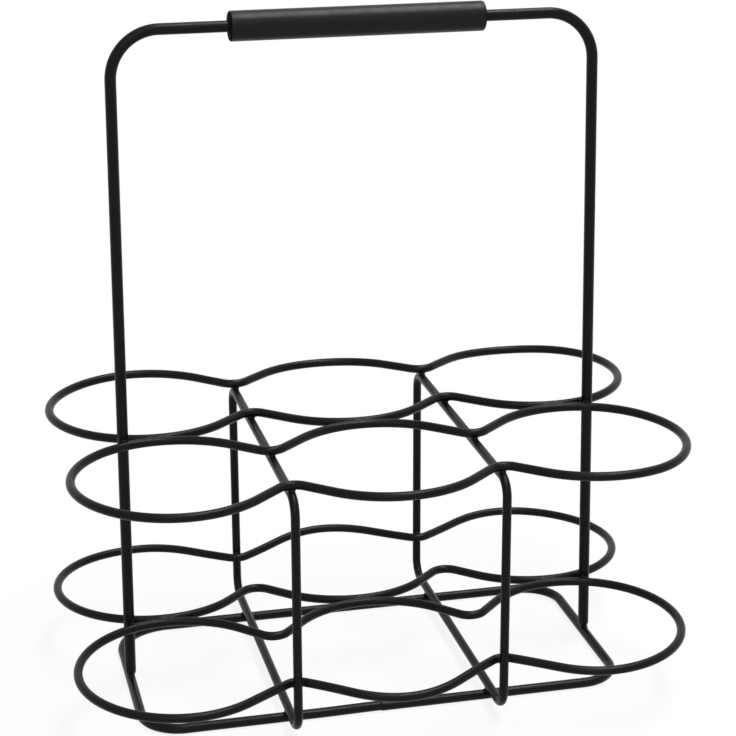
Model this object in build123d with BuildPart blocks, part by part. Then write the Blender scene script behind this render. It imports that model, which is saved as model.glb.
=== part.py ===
from build123d import *
from math import cos, radians, sin, sqrt
import os

# Bottle caddy: a welded wire rack for two rows of three bottles, with a tall carrying bail and a grip sleeve
# that turns on it. Millimetres. X runs along a row of bottles, Y from the front row to the rear row, Z up.
# The origin is in the middle of the rack, on the surface that it stands on.

# Wires
frame_wire = 4.0  # diameter of the rings' and cross frames' wire
base_wire = 4.5  # diameter of the base frame's wire
bail_wire = 5.0  # diameter of the bail's wire

# Rings, measured on the wire's centre line
bottle_pitch = 93.0  # from one bottle to the next in a row
lobe_radius = 45.0  # bend round one bottle
waist_bend = 8.0  # bend between two bottles
upper_turn = 47.5  # degrees from the row's line to where a lobe of the upper rings runs straight to that bend
lower_outer_turn = 57.7  # degrees, the same on the lower rings' outer side, by the uprights
lower_inner_turn = 44.2  # degrees, the same on the lower rings' inner side
upper_ring_height = 119.0
lower_ring_height = 29.0
lower_ring_droop = 1.4  # degrees; the lower rings' outer sides hang lower than their inner sides

# Cross frames, base frame and bail, measured on the wire's centre line
cross_top_bend = 8.0
cross_bottom_bend = 8.5
leg_splay = 1.3  # a leg stands this much further out on the base than it is at the upper rings
base_depth = 106.8
base_bend = 17.8
bail_height = 302.6
bail_bend = 21.1
tip_inset = 0.6  # the cut ends of the bail taper by this much all round
tip_length = 1.8  # and over this length of the leg

# Grip sleeve
grip_length = 112.5
grip_diameter = 13.1
grip_clearance = 0.35  # radial, between the bore and the bail
grip_edge = 1.1  # rounding of the outer edges
grip_mouth = 0.4  # chamfer of the bore's mouths

# Welds
weld_gap = 0.2  # between two wires that a bead joins
bead_radius = 1.6  # beads between the thin wires
foot_bead_radius = 1.8  # beads under the bail's legs
pair_bead_length = 9.0  # beads along the front and rear rings where they lie side by side


def waist(turn):
    """Half the width of a ring between two bottles, where its lobes end at this angle."""
    across = lobe_radius + waist_bend - bottle_pitch / 2 * cos(radians(turn))
    return across / sin(radians(turn)) - waist_bend


# Places that follow from the sizes above
row_offset = lobe_radius + (frame_wire + weld_gap) / 2
upright_offset = row_offset + waist(lower_outer_turn) + frame_wire + weld_gap
top_bar_height = upper_ring_height - frame_wire - weld_gap
bottom_bar_height = base_wire + weld_gap + frame_wire / 2
lobe_to_leg = lobe_radius + (frame_wire + bail_wire) / 2 + weld_gap
leg_offset = bottle_pitch + sqrt(lobe_to_leg**2 - row_offset**2)  # at the upper rings
base_reach = leg_offset + leg_splay
foot_height = base_wire + weld_gap

lower_outer_height = lower_ring_height - waist(lower_outer_turn) * sin(radians(lower_ring_droop))
lower_inner_height = lower_ring_height + lobe_radius * sin(radians(lower_ring_droop))


def leg_place(height):
    """How far out a leg stands at this height: it leans inward from the base, past the upper rings."""
    lean = leg_splay / (upper_ring_height - foot_height)
    return base_reach - lean * (height - foot_height)


def sweep_wire(path, diameter):
    """Adds round wire along a path to the part that is being built."""
    with BuildSketch(Plane(origin=path @ 0, z_dir=path % 0), mode=Mode.PRIVATE) as section:
        Circle(diameter / 2)
    sweep(section.sketch, path=path)


def ring_line(height, outer_turn, inner_turn):
    """Centre line of a rear ring: round three bottles and drawn in between them, its outer side to the rear."""
    middle = (0, row_offset)
    end = (bottle_pitch, row_offset)
    outer_bend_middle = (bottle_pitch / 2, row_offset + waist(outer_turn) + waist_bend)
    inner_bend_middle = (bottle_pitch / 2, row_offset - waist(inner_turn) - waist_bend)
    with BuildLine() as loop:
        outer_half = CenterArc(middle, lobe_radius, 90, outer_turn - 90)
        outer_bend = CenterArc(outer_bend_middle, waist_bend, 180 + outer_turn, 180 - 2 * outer_turn)
        end_lobe = CenterArc(end, lobe_radius, 180 - outer_turn, outer_turn + inner_turn - 360)
        inner_bend = CenterArc(inner_bend_middle, waist_bend, inner_turn, 180 - 2 * inner_turn)
        inner_half = CenterArc(middle, lobe_radius, -inner_turn, inner_turn - 90)
        Line(outer_half @ 1, outer_bend @ 0)
        Line(outer_bend @ 1, end_lobe @ 0)
        Line(end_lobe @ 1, inner_bend @ 0)
        Line(inner_bend @ 1, inner_half @ 0)
        mirror(about=Plane.YZ)
    return loop.wire().moved(Location((0, 0, height)))


def cross_frame_line(place):
    """Centre line of a cross frame: over the base frame, round both rows and under the upper rings."""
    with BuildLine(Plane.YZ.offset(place)) as loop:
        FilletPolyline(
            (-upright_offset, bottom_bar_height),
            (upright_offset, bottom_bar_height),
            (upright_offset, top_bar_height),
            (-upright_offset, top_bar_height),
            radius=(cross_bottom_bend, cross_bottom_bend, cross_top_bend, cross_top_bend),
            close=True,
        )
    return loop.wire()


# Base frame, the loop that lies on the table
with BuildPart() as base_frame:
    with BuildLine(Plane.XY.offset(base_wire / 2)) as base_loop:
        FilletPolyline(
            (-base_reach, -base_depth / 2),
            (base_reach, -base_depth / 2),
            (base_reach, base_depth / 2),
            (-base_reach, base_depth / 2),
            radius=base_bend,
            close=True,
        )
    sweep_wire(base_loop.wire(), base_wire)
base_frame.part.label = "base_frame"

# Cross frames
with BuildPart() as cross_frame_left:
    sweep_wire(cross_frame_line(-bottle_pitch / 2), frame_wire)
cross_frame_left.part.label = "cross_frame_left"

with BuildPart() as cross_frame_right:
    sweep_wire(cross_frame_line(bottle_pitch / 2), frame_wire)
cross_frame_right.part.label = "cross_frame_right"

# Rings
with BuildPart() as upper_ring_rear:
    sweep_wire(ring_line(upper_ring_height, upper_turn, upper_turn), frame_wire)
upper_ring_rear.part.label = "upper_ring_rear"

with BuildPart() as upper_ring_front:
    mirror(upper_ring_rear.part, about=Plane.XZ)
upper_ring_front.part.label = "upper_ring_front"

with BuildPart() as level_ring:
    sweep_wire(ring_line(lower_ring_height, lower_outer_turn, lower_inner_turn), frame_wire)

with BuildPart() as lower_ring_rear:
    row_line = Axis((0, row_offset, lower_ring_height), (1, 0, 0))
    add(level_ring.part.rotate(row_line, -lower_ring_droop))
lower_ring_rear.part.label = "lower_ring_rear"

with BuildPart() as lower_ring_front:
    mirror(lower_ring_rear.part, about=Plane.XZ)
lower_ring_front.part.label = "lower_ring_front"

# Bail
with BuildPart() as handle_bail:
    with BuildLine(Plane.XZ) as bail_line:
        FilletPolyline(
            (-leg_place(foot_height), foot_height),
            (-leg_place(bail_height), bail_height),
            (leg_place(bail_height), bail_height),
            (leg_place(foot_height), foot_height),
            radius=bail_bend,
        )
    sweep_wire(bail_line.wire(), bail_wire)
    for leg_end in handle_bail.faces().sort_by(Axis.Z)[:2]:
        chamfer(leg_end.edges(), tip_inset, tip_length, reference=leg_end)
handle_bail.part.label = "handle_bail"

# Grip sleeve, centred on the bail's top bar
with BuildPart() as grip_sleeve:
    with BuildSketch(Plane.YZ):
        with Locations((0, bail_height)):
            Circle(grip_diameter / 2)
            Circle(bail_wire / 2 + grip_clearance, mode=Mode.SUBTRACT)
    extrude(amount=grip_length / 2, both=True)
    end_edges = grip_sleeve.edges().filter_by(GeomType.CIRCLE).group_by(SortBy.RADIUS)
    fillet(end_edges[-1], grip_edge)
    chamfer(end_edges[0], grip_mouth)
grip_sleeve.part.label = "grip_sleeve"

# Weld beads. Each stands across the gap between two wires, and what the wires fill is cut away.
upper_rings = (upper_ring_front, upper_ring_rear)
lower_rings = (lower_ring_front, lower_ring_rear)
cross_frames = (cross_frame_left, cross_frame_right)


def cut_wires(wires):
    """Leaves of the beads in the part that is being built only what stands between these wires."""
    for wire in wires:
        add(wire.part, mode=Mode.SUBTRACT)


with BuildPart() as welds_ring_seats:
    with Locations(Plane.XY.offset(upper_ring_height - (frame_wire + weld_gap) / 2)):
        with GridLocations(bottle_pitch, 2 * row_offset, 2, 2):
            with GridLocations(0, 2 * waist(upper_turn), 1, 2):
                Cylinder(bead_radius, frame_wire)
    cut_wires(upper_rings + cross_frames)
welds_ring_seats.part.label = "welds_ring_seats"

with BuildPart() as welds_ring_uprights:
    with Locations(Plane.XY.offset(lower_outer_height)):
        with GridLocations(bottle_pitch, 2 * upright_offset - frame_wire - weld_gap, 2, 2):
            Cylinder(bead_radius, frame_wire, rotation=(90, 0, 0))
    cut_wires(lower_rings + cross_frames)
welds_ring_uprights.part.label = "welds_ring_uprights"

with BuildPart() as welds_ring_legs:
    for height in (lower_inner_height, upper_ring_height):
        for side_x in (-1, 1):
            for side_y in (-1, 1):
                lobe = Vector(side_x * bottle_pitch, side_y * row_offset, height)
                leg = Vector(side_x * leg_place(height), 0, height)
                towards_leg = (leg - lobe).normalized()
                middle_of_gap = lobe + towards_leg * (lobe_radius + (frame_wire + weld_gap) / 2)
                with Locations(Plane(origin=middle_of_gap, z_dir=towards_leg)):
                    Cylinder(bead_radius, frame_wire)
    cut_wires(upper_rings + lower_rings + (handle_bail,))
welds_ring_legs.part.label = "welds_ring_legs"

with BuildPart() as welds_feet:
    with Locations(Plane.XY.offset(foot_height)):
        with GridLocations(2 * base_reach, 0, 2, 1):
            Cylinder(foot_bead_radius, base_wire)
    cut_wires((base_frame, handle_bail))
welds_feet.part.label = "welds_feet"

with BuildPart() as welds_frame_base:
    with Locations(Plane.XY.offset(base_wire + weld_gap / 2)):
        with GridLocations(bottle_pitch, base_depth, 2, 2):
            Cylinder(bead_radius, frame_wire)
    cut_wires(cross_frames + (base_frame,))
welds_frame_base.part.label = "welds_frame_base"

with BuildPart() as welds_ring_pairs:
    for height in (lower_inner_height, upper_ring_height):
        with BuildSketch(Plane.XZ.offset(-frame_wire / 2)):
            with Locations((0, height)):
                with GridLocations(bottle_pitch, 0, 3, 1):
                    SlotOverall(pair_bead_length, 2 * bead_radius)
        extrude(amount=frame_wire)
    cut_wires(upper_rings + lower_rings)
welds_ring_pairs.part.label = "welds_ring_pairs"

frames_and_rings = (base_frame,) + cross_frames + upper_rings + lower_rings
bail_and_grip = (handle_bail, grip_sleeve)
welds = (welds_ring_seats, welds_ring_uprights, welds_ring_legs, welds_feet, welds_frame_base, welds_ring_pairs)
os.makedirs("parts", exist_ok=True)
for piece in frames_and_rings + bail_and_grip + welds:
    export_step(piece.part, f"parts/{piece.part.label}.step")
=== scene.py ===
from math import asin, atan2, cos, pi, radians, sin, sqrt

import bpy
import numpy as np
from mathutils import Matrix, Vector


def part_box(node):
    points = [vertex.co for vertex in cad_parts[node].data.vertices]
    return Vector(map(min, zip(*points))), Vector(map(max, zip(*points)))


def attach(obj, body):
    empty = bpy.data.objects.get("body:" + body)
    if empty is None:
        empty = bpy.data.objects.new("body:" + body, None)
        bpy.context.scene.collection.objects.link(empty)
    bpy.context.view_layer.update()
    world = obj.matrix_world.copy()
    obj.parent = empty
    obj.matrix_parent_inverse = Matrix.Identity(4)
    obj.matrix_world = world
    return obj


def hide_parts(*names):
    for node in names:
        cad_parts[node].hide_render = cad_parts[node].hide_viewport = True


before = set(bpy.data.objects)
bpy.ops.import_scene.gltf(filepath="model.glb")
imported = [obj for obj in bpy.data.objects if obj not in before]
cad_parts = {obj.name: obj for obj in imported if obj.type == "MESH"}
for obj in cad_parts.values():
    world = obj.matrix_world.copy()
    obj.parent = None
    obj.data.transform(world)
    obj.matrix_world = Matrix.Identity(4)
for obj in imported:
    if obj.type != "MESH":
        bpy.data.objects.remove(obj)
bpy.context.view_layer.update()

# A welded wire caddy for six bottles, seen a little from the left and from above. Metres. The places and
# diameters of the wires are worked out from the frame's boxes. What the boxes don't tell is named here: the
# bends, and how far single bends and ends lie away from their twins.
MM = 0.001

waist_bend = 8.0 * MM  # the rings' bend between two bottles
upper_turn = radians(47.5)  # from the row's line to where an upper ring's lobe runs straight to that bend
lower_outer_turn = radians(57.7)  # the same on the lower rings' outer side, by the uprights
lower_inner_turn = radians(44.2)  # the same on the lower rings' inner side
cross_top_bend = 8.0 * MM
cross_bottom_bend = 8.5 * MM
base_bend = 17.8 * MM
base_loose_bend = 24.5 * MM  # at the rear left corner, which is rounder than the others
bail_bend = 21.1 * MM
bail_shift = -1.0 * MM  # the bail's top is pushed this far to the side of its feet
tip_inset = 0.6 * MM  # the cut ends of the bail taper by this much all round
tip_length = 1.8 * MM
tip_steps = 10  # rows of points along the taper
tip_steps_past = 2  # and above it

# How far each ring's outer side lies above its plane, in mm: by the left bottle, between it and the middle
# one, by the middle one, between that and the right one, and by the right one
upper_front_rise = (-0.5, 0.0, 0.0, 0.0, 0.3)
upper_rear_rise = (0.7, 0.0, -0.8, 0.0, -1.6)
lower_front_rise = (-0.3, 0.3, -2.0, 1.0, -0.4)
lower_rear_rise = (-0.6, -2.4, 1.0, -0.9, 1.2)

# How far the left and the right end of the upper rings are drawn in
upper_front_draw = (0.9 * MM, 1.6 * MM)
upper_rear_draw = (0.6 * MM, 0.0)
draw_start = 15.0 * MM  # it sets in this far beyond the middle of the end bottle, past the legs

# How finely the wires are drawn
wire_sides = 40
bend_step = radians(2.0)
sharp_angle = radians(40.0)  # edges sharper than this stay crisp
straight_step = 4.0 * MM
touch_steps = 4  # each stretch between two rows is cut in so many to find where wires touch

# Butt joint of the base frame, in its front bar
joint_place = -4.0 * MM
joint_swell = 0.03 * MM  # how far the joint stands proud of the wire
joint_width = 1.2 * MM
joint_step = 0.3 * MM  # the left end sits this much higher than the right one
joint_run = 30.0 * MM  # the length over which it comes back down
joint_fine = 0.25 * MM  # the rows of points are this close at the joint
joint_fine_start, joint_fine_end = -joint_run / 2, 8.0 * joint_width
joint_coarse = 8.0 * joint_fine  # and this close further left
joint_coarse_start = -2.0 * joint_run

# Weld fillets
fillet_width = 1.9 * MM  # between two wires, how far the melt reaches
foot_fillet_width = 1.7 * MM
fillet_unevenness = 0.14
fillet_waves = (1300.0, 900.0, 1100.0)  # of the uneven edge, in radians per metre along X, Y and Z
fillet_phase = 40.0  # radians for each mm of a weld's place, so that no two welds are alike
fillet_inset = 0.03 * MM  # the fillet's edge dips this far under the wires' skin
fillet_voxel = 0.22 * MM
fillet_pulls = 3  # how often the fillet's points are pulled onto its surface
fillet_nudge = fillet_voxel / 20  # the step that its slope is measured over
least_slope = 0.2  # squared, so that no pull is far
fillet_reach = 4.0 * MM  # half the box that a fillet is worked out in
pair_reach = 7.5 * MM  # the same along two rings that lie side by side
touch_gap = 0.8 * MM  # wires nearer than this are welded
touch_apart = 10.0 * MM  # and two welds are further apart than this
leg_tip_top = 9.0 * MM  # below this a leg's weld is at its tapered tip

# Grip sleeve
sleeve_shift = -0.6 * MM  # it has slid this far along the bar
sleeve_edge = 1.1 * MM  # rounding of the outer edges
sleeve_bore = 2.85 * MM
sleeve_mouth = 0.4 * MM
sleeve_sides = 128
sleeve_rows = 48
edge_steps = 10

# Materials. A span gives the values of the noise between which tone or roughness goes from low to high.
cloud_scale = 55.0  # features of the cloudy tone per metre
cloud_detail = 6.0
cloud_roughness = 0.62
cloud_span = (0.32, 0.7)
patch_scale = 320.0  # features of the uneven roughness per metre
patch_detail = 4.0
patch_span = (0.3, 0.7)
bump_detail = 2.0

# Camera, fitted to the photograph
camera_turn = radians(-13.3029)
camera_height = radians(18.4442)
camera_roll = radians(-0.2294)
camera_distance = 953.60 * MM
camera_target = Vector((3.283, 0.0, 145.04)) * MM
focal_per_width = 2.8553
sensor_width = 36.0

# Light
world_level = 0.1
key_level = 0.7  # of each of the soft lamps overhead
key_spread = radians(17.0)
key_leans = [radians(lean) for lean in (-16.0, -4.0, 8.0, 20.0)]  # from upright, away from the camera
key_side = radians(14.0)  # and all of them this far to the right
fill_level = 0.5
fill_spread = radians(38.0)
fill_height = radians(34.0)
floor_radius = 30.0
floor_sides = 128
floor_tone = (0.97, 0.97, 0.97, 1.0)
floor_glow_share = 0.88  # of what is seen of the floor is plain white, and the rest is the lit paper


# Centre lines of the wires


class Straight:
    """A straight stretch of a wire in its own plane."""

    def __init__(self, start, end):
        self.start, self.end = np.array(start, float), np.array(end, float)
        self.length = float(np.linalg.norm(self.end - self.start))

    def samples(self, marks=()):
        """Places and directions along it, at even steps and at the marks, shares of its length."""
        count = max(1, round(self.length / straight_step))
        shares = sorted(set(np.arange(count) / count) | {m for m in marks if 0.0 < m < 1.0})
        along = (self.end - self.start) / self.length
        return [(self.start + (self.end - self.start) * share, along) for share in shares]

    def gap(self, points):
        """Distance of points in the plane from it."""
        along = (self.end - self.start) / self.length
        run = np.clip((points - self.start) @ along, 0.0, self.length)
        return np.linalg.norm(points - self.start - run[:, None] * along, axis=1)


class Bend:
    """A bend of a wire in its own plane, from one angle through another."""

    def __init__(self, centre, radius, start, turn):
        self.centre, self.radius, self.start, self.turn = np.array(centre, float), radius, start, turn

    def place(self, angle):
        return self.centre + self.radius * np.array((cos(angle), sin(angle)))

    def samples(self, marks=()):
        """Places and directions along it, at even steps. Bends have no marks."""
        count = max(2, round(abs(self.turn) / bend_step))
        sense = 1.0 if self.turn > 0.0 else -1.0
        angles = [self.start + self.turn * n / count for n in range(count)]
        return [(self.place(a), sense * np.array((-sin(a), cos(a)))) for a in angles]

    def gap(self, points):
        """Distance of points in the plane from the arc, or beside it from its nearer end."""
        rest = points - self.centre
        sense = 1.0 if self.turn > 0.0 else -1.0
        past = np.mod(sense * (np.arctan2(rest[:, 1], rest[:, 0]) - self.start), 2.0 * pi)
        on_arc = np.abs(np.hypot(rest[:, 0], rest[:, 1]) - self.radius)
        tips = [self.place(angle) for angle in (self.start, self.start + self.turn)]
        off_arc = np.minimum(*(np.linalg.norm(points - tip, axis=1) for tip in tips))
        return np.where(past <= abs(self.turn), on_arc, off_arc)


class Wire:
    """Round wire along a line in one plane: origin and two axes turn the plane's numbers into places."""

    def __init__(self, node, stretches, radius, origin, across, up, closed=True):
        self.node, self.stretches, self.radius, self.closed = node, stretches, radius, closed
        self.origin, self.across, self.up = (np.array(v, float) for v in (origin, across, up))
        self.normal = np.cross(self.across, self.up)
        self.marks = {}
        self.rise = None
        self.draw = None

    def line(self):
        """Places and directions along the wire, in the plane."""
        found = []
        for number, stretch in enumerate(self.stretches):
            found += stretch.samples(self.marks.get(number, ()))
        if not self.closed:
            last = self.stretches[-1]
            found.append((last.end, (last.end - last.start) / last.length))
        places, directions = zip(*found)
        return np.array(places), np.array(directions)

    def strayed(self, places):
        """How far the wire lies from its line in the plane at these places, as steps along X and Z."""
        steps = np.zeros((len(places), 3))
        if self.rise:
            steps[:, 2] = self.rise(places)
        if self.draw:
            steps[:, 0] = self.draw(places)
        return steps

    def flattened(self, points):
        """Points in space, as places in the plane."""
        rest = points - self.origin
        return np.stack((rest @ self.across, rest @ self.up), axis=1)

    def in_space(self, places):
        """Places in the plane, as points in space where the wire really lies."""
        return self.origin + places[:, :1] * self.across + places[:, 1:] * self.up + self.strayed(places)

    def skin_gap(self, points):
        """Distance of points from the wire's skin, below zero inside it."""
        points = points - self.strayed(self.flattened(points))
        flat, height = self.flattened(points), (points - self.origin) @ self.normal
        nearest = np.min([stretch.gap(flat) for stretch in self.stretches], axis=0)
        return np.hypot(nearest, height) - self.radius


def rounded(corners, bends, closed=True):
    """Stretches of a line through corners, each rounded by its own bend."""
    count = len(corners)
    corners = [np.array(c, float) for c in corners]
    arcs = {}
    for number in range(count) if closed else range(1, count - 1):
        before, here, after = corners[number - 1], corners[number], corners[(number + 1) % count]
        away = (here - before) / np.linalg.norm(here - before)
        on = (after - here) / np.linalg.norm(after - here)
        turn = atan2(away[0] * on[1] - away[1] * on[0], float(away @ on))
        cut = bends[number] * abs(np.tan(turn / 2))
        side = np.array((-away[1], away[0])) * (1.0 if turn > 0.0 else -1.0)
        start, end = here - away * cut, here + on * cut
        centre = start + side * bends[number]
        arcs[number] = (Bend(centre, bends[number], atan2(*(start - centre)[::-1]), turn), start, end)
    stretches = []
    for number in range(count if closed else count - 1):
        follower = (number + 1) % count
        start = arcs[number][2] if number in arcs else corners[number]
        end = arcs[follower][1] if follower in arcs else corners[follower]
        stretches.append(Straight(start, end))
        if follower in arcs:
            stretches.append(arcs[follower][0])
    return stretches


def rectangle(across, up):
    """Corners of a rectangle round the origin, from its middle this far across and up."""
    return [(-across, -up), (across, -up), (across, up), (-across, up)]


def middle_and_half(node):
    """Middle of a node's box, and half its size."""
    low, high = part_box(node)
    return np.array((low + high) / 2), np.array((high - low) / 2)


# Sizes that the rings share, and the gaps that the welds fill
ring_middle, ring_half = middle_and_half("upper_ring_rear")
row_offset, ring_height, ring_radius = float(ring_middle[1]), float(ring_middle[2]), float(ring_half[2])
lobe = float(ring_half[1]) - ring_radius
pitch = float(ring_half[0]) - ring_radius - lobe
weld_gap = 2.0 * (row_offset - lobe - ring_radius)
foot_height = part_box("base_frame")[1].z + weld_gap


def eased(share):
    """The same share from 0 to 1, but setting off and arriving gently."""
    return share**2 * (3.0 - 2.0 * share)


def end_draw(left, right):
    """Steps along the row that draw a ring's ends in by so much."""

    def draw(places):
        beyond = np.abs(places[:, 0]) - pitch - draw_start
        share = np.clip(beyond / (lobe - draw_start), 0.0, 1.0)
        return np.where(places[:, 0] < 0.0, left, -right) * eased(share)

    return draw


def outer_rise(steps, drop):
    """Rise of a ring's outer side, from its steps along the row. It is whole from the waist outward."""

    def rise(places):
        total = np.zeros(len(places))
        for number, step in enumerate(steps):
            away = places[:, 0] / (pitch / 2) - number + len(steps) // 2
            total += step * MM * np.cos(np.clip(away, -1.0, 1.0) * pi / 2) ** 2
        return total * eased(np.clip(places[:, 1] / drop, 0.0, 1.0))

    return rise


def ring_wire(node, outer, inner, steps, draws=(0.0, 0.0)):
    """A ring round three bottles. Its lobes end at the angle outer on its outer side, which may droop.

    steps say how far that side rises above the ring's plane along the row, and draws how far the left
    and the right end are drawn in.
    """
    middle, half = middle_and_half(node)
    side = 1.0 if middle[1] > 0.0 else -1.0
    droop = asin((half[2] - ring_radius) / lobe)
    drops = [(lobe + waist_bend - pitch / 2 * cos(turn)) / sin(turn) for turn in (outer, inner)]
    outer_drop, inner_drop = drops
    upright, half_turn = pi / 2, pi
    bends = [
        Bend((0.0, 0.0), lobe, half_turn - outer, 2.0 * (outer - upright)),
        Bend((pitch / 2, outer_drop), waist_bend, half_turn + outer, half_turn - 2.0 * outer),
        Bend((pitch, 0.0), lobe, half_turn - outer, outer + inner - 2.0 * half_turn),
        Bend((pitch / 2, -inner_drop), waist_bend, inner, half_turn - 2.0 * inner),
        Bend((0.0, 0.0), lobe, -inner, 2.0 * (inner - upright)),
        Bend((-pitch / 2, -inner_drop), waist_bend, inner, half_turn - 2.0 * inner),
        Bend((-pitch, 0.0), lobe, 2.0 * half_turn - inner, outer + inner - 2.0 * half_turn),
        Bend((-pitch / 2, outer_drop), waist_bend, half_turn + outer, half_turn - 2.0 * outer),
    ]
    stretches = []
    for bend, follower in zip(bends, bends[1:] + bends[:1]):
        stretches += [bend, Straight(bend.place(bend.start + bend.turn), follower.place(follower.start))]
    wire = Wire(node, stretches, ring_radius, middle, (1, 0, 0), (0, side * cos(droop), -sin(droop)))
    wire.rise = outer_rise(steps, outer_drop - waist_bend)
    wire.draw = end_draw(*draws)
    return wire


def cross_wire(node):
    """A cross frame, which stands across both rows."""
    middle, half = middle_and_half(node)
    radius = half[0]
    corners = rectangle(half[1] - radius, half[2] - radius)
    bends = (cross_bottom_bend, cross_bottom_bend, cross_top_bend, cross_top_bend)
    return Wire(node, rounded(corners, bends), radius, middle, (0, 1, 0), (0, 0, 1))


def base_wire(node):
    """The base frame, with more rows of points at the butt joint in its front bar."""
    middle, half = middle_and_half(node)
    radius = half[2]
    corners = rectangle(half[0] - radius, half[1] - radius)
    bends = (base_bend, base_bend, base_bend, base_loose_bend)
    wire = Wire(node, rounded(corners, bends), radius, middle, (1, 0, 0), (0, 1, 0))
    front = wire.stretches[0]
    fine = np.arange(joint_fine_start, joint_fine_end, joint_fine)
    coarse = np.arange(joint_coarse_start, joint_fine_start, joint_coarse)
    marks = joint_place + np.concatenate((coarse, fine)) - front.start[0]
    wire.marks[0] = set(marks / front.length)
    return wire


def bail_wire(node):
    """The bail leans inward from the middle of the base's short bars, past the upper rings' end lobes."""
    radius = middle_and_half(node)[1][1]
    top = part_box(node)[1].z - radius
    foot_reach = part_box("base_frame")[1].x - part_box("base_frame")[1].z / 2
    ring_reach = pitch + sqrt((lobe + ring_radius + radius + weld_gap) ** 2 - row_offset**2)
    lean = (foot_reach - ring_reach) / (ring_height - foot_height)
    reach = foot_reach - lean * (top - foot_height)
    corners = [(-foot_reach, foot_height), (bail_shift - reach, top), (bail_shift + reach, top),
               (foot_reach, foot_height)]
    stretches = rounded(corners, (bail_bend,) * len(corners), closed=False)
    wire = Wire(node, stretches, radius, (0, 0, 0), (1, 0, 0), (0, 0, 1), closed=False)
    for number, near_end in ((0, 0.0), (len(wire.stretches) - 1, 1.0)):
        share = tip_length / wire.stretches[number].length
        steps = [n * share / tip_steps for n in range(1, tip_steps + tip_steps_past + 1)]
        wire.marks[number] = {abs(near_end - step) for step in steps}
    return wire


# Skins of the wires, welds and sleeve


def mesh_piece(name, points, faces, material, body, stands_for):
    """A piece of the scene that rides on a body and stands for a CAD node."""
    mesh = bpy.data.meshes.new(name)
    mesh.from_pydata([tuple(p) for p in points], [], faces)
    mesh.validate()
    mesh.shade_smooth()
    mesh.set_sharp_from_angle(angle=sharp_angle)
    mesh.materials.append(material)
    piece = bpy.data.objects.new(name, mesh)
    bpy.context.scene.collection.objects.link(piece)
    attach(piece, body)
    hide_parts(stands_for)
    return piece


def wrapped(rows, sides, closed=True):
    """Faces of a skin that is made of rows of points round a line."""
    faces = []
    for row in range(rows if closed else rows - 1):
        here, there = row * sides, (row + 1) % rows * sides
        for side in range(sides):
            beside = (side + 1) % sides
            faces.append((here + side, here + beside, there + beside, there + side))
    return faces


def tube(wire, shape=None):
    """Skin of a wire: rows of points round its line. shape gives each row's radius and lift."""
    places, directions = wire.line()
    centres = wire.in_space(places)
    sideways = np.stack((-directions[:, 1], directions[:, 0]), axis=1)
    sideways = sideways[:, :1] * wire.across + sideways[:, 1:] * wire.up
    radii, lifts = np.full(len(centres), wire.radius), np.zeros(len(centres))
    if shape:
        radii, lifts = shape(centres)
    centres = centres + lifts[:, None] * np.array((0.0, 0.0, 1.0))
    turns = 2.0 * pi * np.arange(wire_sides) / wire_sides
    ring = np.cos(turns)[None, :, None] * sideways[:, None] + np.sin(turns)[None, :, None] * wire.normal
    points = (centres[:, None] + radii[:, None, None] * ring).reshape(-1, 3)
    faces = wrapped(len(centres), wire_sides, wire.closed)
    if not wire.closed:
        points = np.concatenate((points, centres[:1], centres[-1:]))
        first, last = len(points) - 2, len(points) - 1
        end = (len(centres) - 1) * wire_sides
        for side in range(wire_sides):
            beside = (side + 1) % wire_sides
            faces.append((first, beside, side))
            faces.append((last, end + side, end + beside))
    return points, faces


def joint_shape(wire):
    """The base frame's butt joint: a low swelling, and the left end a little higher than the right one."""

    def shape(centres):
        on_front = centres[:, 1] < wire.origin[1] - base_bend
        away = centres[:, 0] - joint_place
        swell = joint_swell * np.exp(-((away / joint_width) ** 2)) * on_front
        rise = np.clip(1.0 + away / joint_run, 0.0, 1.0)
        drop = np.clip(0.5 - away / joint_width, 0.0, 1.0)
        lift = joint_step * eased(rise) * eased(drop) * on_front
        return wire.radius + swell, swell + lift

    return shape


def tip_radius(wire, heights):
    """The bail's radius by height: its cut ends taper."""
    return wire.radius - tip_inset * np.clip(1.0 - (heights - foot_height) / tip_length, 0.0, 1.0)


def tip_shape(wire):
    """The bail's radius along its line, with no lift."""
    return lambda centres: (tip_radius(wire, centres[:, 2]), np.zeros(len(centres)))


def leg_gap(wire, points):
    """Distance from the skin of a leg near its tapered, flat tip."""
    raised = points.copy()
    raised[:, 2] = np.maximum(raised[:, 2], foot_height)
    from_line = wire.skin_gap(raised) + wire.radius
    return np.maximum(from_line - tip_radius(wire, points[:, 2]), foot_height - points[:, 2])


def touching_places(one, other):
    """Where two wires come near enough to be welded: the middle of each narrow gap."""
    lines = []
    for wire in (one, other):
        centres = wire.in_space(wire.line()[0])
        shares = np.arange(touch_steps) / touch_steps
        between = [centres[:-1] + (centres[1:] - centres[:-1]) * share for share in shares]
        lines.append(np.concatenate(between + [centres[-1:]]))
    gaps = np.linalg.norm(lines[0][:, None] - lines[1][None], axis=2)
    near = [(gaps[i, j], i, j) for i, j in enumerate(gaps.argmin(axis=1))]
    found = []
    for gap, i, j in sorted(near):
        if gap - one.radius - other.radius > touch_gap:
            break
        here, there = lines[0][i], lines[1][j]
        place = here + (there - here) * one.radius / (one.radius + other.radius)
        if all(np.linalg.norm(place - known) > touch_apart for known in found):
            found.append(place)
    return found


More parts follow.
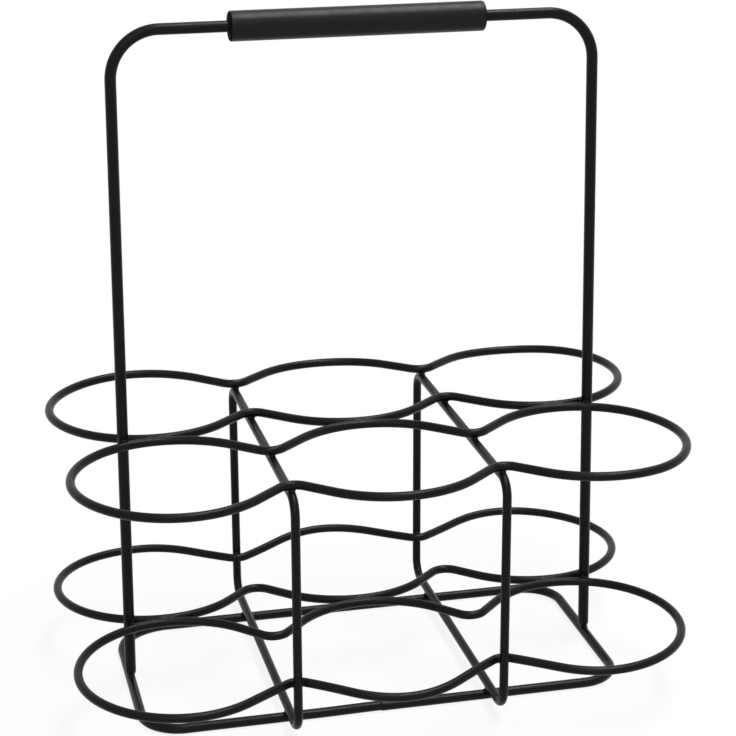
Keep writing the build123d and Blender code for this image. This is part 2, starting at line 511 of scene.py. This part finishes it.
def surface_net(field, centre, reach):
    """Quads over the surface where the field is zero, within a box, with points pulled onto it."""
    counts = [int(2 * r / fillet_voxel) + 2 for r in reach]
    axes = [c + (np.arange(n) - (n - 1) / 2) * fillet_voxel for c, n in zip(centre, counts)]
    grid = np.stack(np.meshgrid(*axes, indexing="ij"), axis=-1)
    values = field(grid.reshape(-1, 3)).reshape(counts)
    cells = tuple(n - 1 for n in counts)
    total, crossings = np.zeros(cells + (3,)), np.zeros(cells)
    for axis in range(3):
        step = [0, 0, 0]
        step[axis] = 1
        for one in (0, 1):
            for two in (0, 1):
                start = list(np.insert((one, two), axis, 0))
                a = tuple(slice(s, s + n) for s, n in zip(start, cells))
                b = tuple(slice(s + t, s + t + n) for s, t, n in zip(start, step, cells))
                crosses = (values[a] < 0.0) != (values[b] < 0.0)
                share = np.where(crosses, values[a] / np.where(crosses, values[a] - values[b], 1.0), 0.0)
                total += np.where(crosses[..., None], grid[a] + (grid[b] - grid[a]) * share[..., None], 0.0)
                crossings += crosses
    used = crossings > 0
    numbers = np.full(cells, -1)
    numbers[used] = np.arange(used.sum())
    points = total[used] / crossings[used][:, None]
    quads = []
    for axis in range(3):
        first, second = (axis + 1) % 3, (axis + 2) % 3
        inner = [slice(1, n) for n in cells]
        inner[axis] = slice(0, cells[axis])
        beyond = list(inner)
        beyond[axis] = slice(1, cells[axis] + 1)
        low, high = values[tuple(inner)] < 0.0, values[tuple(beyond)] < 0.0
        for outward in (True, False):
            places = np.argwhere(low & ~high if outward else ~low & high)
            places += [0 if k == axis else 1 for k in range(3)]
            round_edge = []
            for back_one, back_two in ((0, 0), (1, 0), (1, 1), (0, 1)):
                cell = places.copy()
                cell[:, first] -= back_one
                cell[:, second] -= back_two
                round_edge.append(numbers[tuple(cell.T)])
            quads.append(np.stack(round_edge if outward else round_edge[::-1], axis=1))
    for _ in range(fillet_pulls):
        nudges = fillet_nudge * np.eye(3)
        slope = np.stack([(field(points + nudge) - field(points - nudge)) / (2 * fillet_nudge)
                          for nudge in nudges], axis=1)
        pull = field(points) / np.maximum((slope**2).sum(axis=1), least_slope)
        points = points - pull[:, None] * slope
    return points, np.concatenate(quads)


def fillet(one_gap, other_gap, place, width, reach):
    """Melt between two wires: what a smooth union adds near a place. Its edge is under their skin."""
    phase = fillet_phase * float(np.sum(place)) / MM

    def melt(points):
        wobble = np.sin((points - place) @ np.array(fillet_waves) + phase)
        span = width * (1.0 + fillet_unevenness * wobble)
        a, b = one_gap(points), other_gap(points)
        return np.minimum(a, b), np.maximum(span - np.abs(a - b), 0.0) ** 2 / span / 4

    def field(points):
        nearer, added = melt(points)
        return nearer - added + fillet_inset

    points, quads = surface_net(field, place, reach)
    proud = melt(points)[1] > 0.0
    quads = quads[proud[quads].any(axis=1)]
    kept, renumbered = np.unique(quads, return_inverse=True)
    return points[kept], renumbered.reshape(-1, 4)


def wire_gap(wire, place):
    """What measures distance from a wire's skin at this place, which may be a leg's tip."""
    if wire.closed or place[2] > leg_tip_top:
        return wire.skin_gap
    return lambda points: leg_gap(wire, points)


def welds(pairs, width=fillet_width, reach=(fillet_reach,) * 3):
    """All fillets between these pairs of wires, as one mesh."""
    points, faces, count = [], [], 0
    for one, other in pairs:
        for place in touching_places(one, other):
            gaps = [wire_gap(wire, place) for wire in (one, other)]
            some_points, some_faces = fillet(*gaps, place, width, reach)
            points.append(some_points)
            faces += [tuple(int(n) + count for n in quad) for quad in some_faces]
            count += len(some_points)
    return np.concatenate(points), faces


def sleeve_outline(half_length, radius):
    """Closed outline of a thick tube's wall as (along, out) pairs: rounded edges, bevelled mouths."""
    end = [(half_length - sleeve_mouth, sleeve_bore), (half_length, sleeve_bore + sleeve_mouth)]
    for n in range(edge_steps + 1):
        angle = pi / 2 * n / edge_steps
        end.append((half_length - sleeve_edge * (1.0 - cos(angle)),
                    radius - sleeve_edge * (1.0 - sin(angle))))
    reach = half_length - sleeve_edge
    skin = [(reach * (2.0 * n / sleeve_rows - 1.0), radius) for n in range(1, sleeve_rows)]
    return [(-along, out) for along, out in end] + skin + end[::-1]


def turned(middle, outline):
    """Skin of a shape turned round a line along X through its middle."""
    turns = 2.0 * pi * np.arange(sleeve_sides) / sleeve_sides
    points = [middle + np.array((x, r * cos(t), r * sin(t))) for x, r in outline for t in turns]
    return points, wrapped(len(outline), sleeve_sides)


# Materials


def link(holder, source, output, target, entry):
    """Joins one node's output to another's entry in a material or the world."""
    holder.node_tree.links.new(source.outputs[output], target.inputs[entry])


def noise_node(material, scale, detail):
    """Noise over the surface, with its scale in features per metre."""
    nodes = material.node_tree.nodes
    place, noise = nodes.new("ShaderNodeTexCoord"), nodes.new("ShaderNodeTexNoise")
    noise.inputs["Scale"].default_value = scale
    noise.inputs["Detail"].default_value = detail
    link(material, place, "Object", noise, "Vector")
    return noise


def surface(name, dark, light, rough, gloss, peel, grain):
    """Dull coated or moulded surface: cloudy tone, uneven roughness, soft peel and fine grain.

    dark and light are the tones, rough is the lowest and the highest roughness, gloss is the specular
    level, and peel and grain are each (features per metre, depth in metres).
    """
    material = bpy.data.materials.new(name)
    material.use_nodes = True
    nodes = material.node_tree.nodes
    shader = nodes["Principled BSDF"]
    shader.inputs["Specular IOR Level"].default_value = gloss
    cloud = noise_node(material, cloud_scale, cloud_detail)
    cloud.inputs["Roughness"].default_value = cloud_roughness
    tone = nodes.new("ShaderNodeValToRGB")
    for stop, position, colour in zip(tone.color_ramp.elements, cloud_span, (dark, light)):
        stop.position, stop.color = position, (*colour, 1.0)
    link(material, cloud, "Fac", tone, "Fac")
    link(material, tone, "Color", shader, "Base Color")
    patch = noise_node(material, patch_scale, patch_detail)
    uneven = nodes.new("ShaderNodeMapRange")
    uneven.inputs["From Min"].default_value, uneven.inputs["From Max"].default_value = patch_span
    uneven.inputs["To Min"].default_value, uneven.inputs["To Max"].default_value = rough
    link(material, patch, "Fac", uneven, "Value")
    link(material, uneven, "Result", shader, "Roughness")
    previous = None
    for scale, depth in (peel, grain):
        noise = noise_node(material, scale, bump_detail)
        bump = nodes.new("ShaderNodeBump")
        bump.inputs["Strength"].default_value = 1.0
        bump.inputs["Distance"].default_value = depth
        link(material, noise, "Fac", bump, "Height")
        if previous:
            link(material, previous, "Normal", bump, "Normal")
        previous = bump
    link(material, previous, "Normal", shader, "Normal")
    return material


def maths(holder, operation, *entries):
    """A sum on its own node. An entry is a number, or a node with the name of its output."""
    node = holder.node_tree.nodes.new("ShaderNodeMath")
    node.operation = operation
    for number, entry in enumerate(entries):
        if isinstance(entry, tuple):
            link(holder, *entry, node, number)
        else:
            node.inputs[number].default_value = entry
    return node, "Value"


def shown_to_eye(holder):
    """1 for rays that show what lies behind the object, directly or in its shine, and 0 for the rest."""
    path = holder.node_tree.nodes.new("ShaderNodeLightPath")
    either = maths(holder, "MAXIMUM", (path, "Is Camera Ray"), (path, "Is Glossy Ray"))
    return maths(holder, "MAXIMUM", either, (path, "Is Transmission Ray"))


plastic_dark, plastic_light = (0.0026, 0.0027, 0.0030), (0.0045, 0.0045, 0.0050)
wire_coat = surface(
    "wire_coat", dark=(0.0028, 0.0027, 0.0026), light=(0.0050, 0.0048, 0.0047), rough=(0.27, 0.37),
    gloss=0.115, peel=(700.0, 0.000018), grain=(3200.0, 0.000005))
weld_coat = surface(
    "weld_coat", dark=(0.0026, 0.0025, 0.0024), light=(0.0046, 0.0044, 0.0043), rough=(0.31, 0.43),
    gloss=0.115, peel=(900.0, 0.00003), grain=(3200.0, 0.000006))
grip_plastic = surface(
    "grip_plastic", dark=plastic_dark, light=plastic_light, rough=(0.34, 0.42), gloss=0.17,
    peel=(1500.0, 0.000010), grain=(6000.0, 0.000004))
grip_cut = surface(
    "grip_cut", dark=plastic_dark, light=plastic_light, rough=(0.76, 0.84), gloss=0.03,
    peel=(1100.0, 0.000020), grain=(5000.0, 0.000008))

# The wires

base = base_wire("base_frame")
cross_left, cross_right = cross_wire("cross_frame_left"), cross_wire("cross_frame_right")
upper_front = ring_wire("upper_ring_front", upper_turn, upper_turn, upper_front_rise, upper_front_draw)
upper_rear = ring_wire("upper_ring_rear", upper_turn, upper_turn, upper_rear_rise, upper_rear_draw)
lower_front = ring_wire("lower_ring_front", lower_outer_turn, lower_inner_turn, lower_front_rise)
lower_rear = ring_wire("lower_ring_rear", lower_outer_turn, lower_inner_turn, lower_rear_rise)
bail = bail_wire("handle_bail")

shapes = {base.node: joint_shape(base), bail.node: tip_shape(bail)}
crosses, uppers, lowers = (cross_left, cross_right), (upper_front, upper_rear), (lower_front, lower_rear)
for wire in (base,) + crosses + uppers + lowers + (bail,):
    points, faces = tube(wire, shapes.get(wire.node))
    mesh_piece(wire.node + "_wire", points, faces, wire_coat, "caddy", wire.node)

# The welds

long_box = (pair_reach, fillet_reach, fillet_reach)
weld_groups = {
    "welds_ring_seats": welds([(ring, cross) for ring in uppers for cross in crosses]),
    "welds_ring_uprights": welds([(ring, cross) for ring in lowers for cross in crosses]),
    "welds_ring_legs": welds([(ring, bail) for ring in uppers + lowers]),
    "welds_feet": welds([(base, bail)], foot_fillet_width),
    "welds_frame_base": welds([(cross, base) for cross in crosses]),
    "welds_ring_pairs": welds([uppers, lowers], reach=long_box),
}
for node, (points, faces) in weld_groups.items():
    mesh_piece(node + "_fillets", points, faces, weld_coat, "caddy", node)

# The grip sleeve, dull where it is sawn off

middle, half = middle_and_half("grip_sleeve")
middle[0] += sleeve_shift
points, faces = turned(middle, sleeve_outline(half[0], half[2]))
sleeve = mesh_piece("grip_sleeve_tube", points, faces, grip_plastic, "grip", "grip_sleeve")
sleeve.data.materials.append(grip_cut)
for face in sleeve.data.polygons:
    if abs(face.center.x - middle[0]) > half[0] - sleeve_edge / 2:
        face.material_index = 1

# Floor, light and camera

floor_mesh = bpy.data.meshes.new("floor")
rim = [2.0 * pi * n / floor_sides for n in range(floor_sides)]
floor_mesh.from_pydata([(floor_radius * cos(a), floor_radius * sin(a), 0.0) for a in rim], [],
                       [tuple(range(floor_sides))])
floor = bpy.data.objects.new("floor", floor_mesh)
bpy.context.scene.collection.objects.link(floor)
paper = bpy.data.materials.new("floor_paper")
paper.use_nodes = True
paper_shader = paper.node_tree.nodes["Principled BSDF"]
paper_shader.inputs["Base Color"].default_value = floor_tone
paper_shader.inputs["Roughness"].default_value = 1.0
paper_shader.inputs["Specular IOR Level"].default_value = 0.0
paper_light = paper.node_tree.nodes.new("ShaderNodeEmission")
paper_mix = paper.node_tree.nodes.new("ShaderNodeMixShader")
link(paper, *maths(paper, "MULTIPLY", shown_to_eye(paper), floor_glow_share), paper_mix, 0)
link(paper, paper_shader, "BSDF", paper_mix, 1)
link(paper, paper_light, "Emission", paper_mix, 2)
link(paper, paper_mix, "Shader", paper.node_tree.nodes["Material Output"], "Surface")
floor_mesh.materials.append(paper)

world = bpy.data.worlds.new("studio")
bpy.context.scene.world = world
world.use_nodes = True
world.node_tree.nodes["Background"].inputs["Color"].default_value = (1.0, 1.0, 1.0, 1.0)
strength = maths(world, "MULTIPLY_ADD", shown_to_eye(world), 1.0 - world_level, world_level)
link(world, *strength, world.node_tree.nodes["Background"], "Strength")

view_dir = Vector((sin(camera_turn) * cos(camera_height), -cos(camera_turn) * cos(camera_height),
                   sin(camera_height)))
level_dir = Vector((view_dir.x, view_dir.y, 0.0)).normalized()
right = Vector((cos(camera_turn), sin(camera_turn), 0.0))
upward = Vector((0.0, 0.0, 1.0))


def soft_sun(name, level, spread, towards):
    """A wide soft source that lights the whole floor evenly, from this direction."""
    lamp = bpy.data.lights.new(name, "SUN")
    lamp.energy = level
    lamp.angle = spread
    holder = bpy.data.objects.new(name, lamp)
    holder.rotation_mode = "QUATERNION"
    holder.rotation_quaternion = towards.to_track_quat("Z", "Y")
    bpy.context.scene.collection.objects.link(holder)


for number, key_lean in enumerate(key_leans):
    soft_sun(f"overhead_softbox_{number}", key_level, key_spread,
             (upward * cos(key_lean) - level_dir * sin(key_lean)) * cos(key_side) + right * sin(key_side))
soft_sun("front_fill", fill_level, fill_spread,
         level_dir * cos(fill_height) + upward * sin(fill_height))

camera_data = bpy.data.cameras.new("camera")
camera_data.sensor_width = sensor_width
camera_data.lens = focal_per_width * sensor_width
camera = bpy.data.objects.new("camera", camera_data)
up = view_dir.cross(right)
rolled_right = right * cos(camera_roll) + up * sin(camera_roll)
rolled_up = up * cos(camera_roll) - right * sin(camera_roll)
axes = Matrix((rolled_right, rolled_up, view_dir)).transposed().to_4x4()
camera.matrix_world = Matrix.Translation(camera_target + view_dir * camera_distance) @ axes
bpy.context.scene.collection.objects.link(camera)
bpy.context.scene.camera = camera

bpy.context.scene.view_settings.view_transform = "Standard"
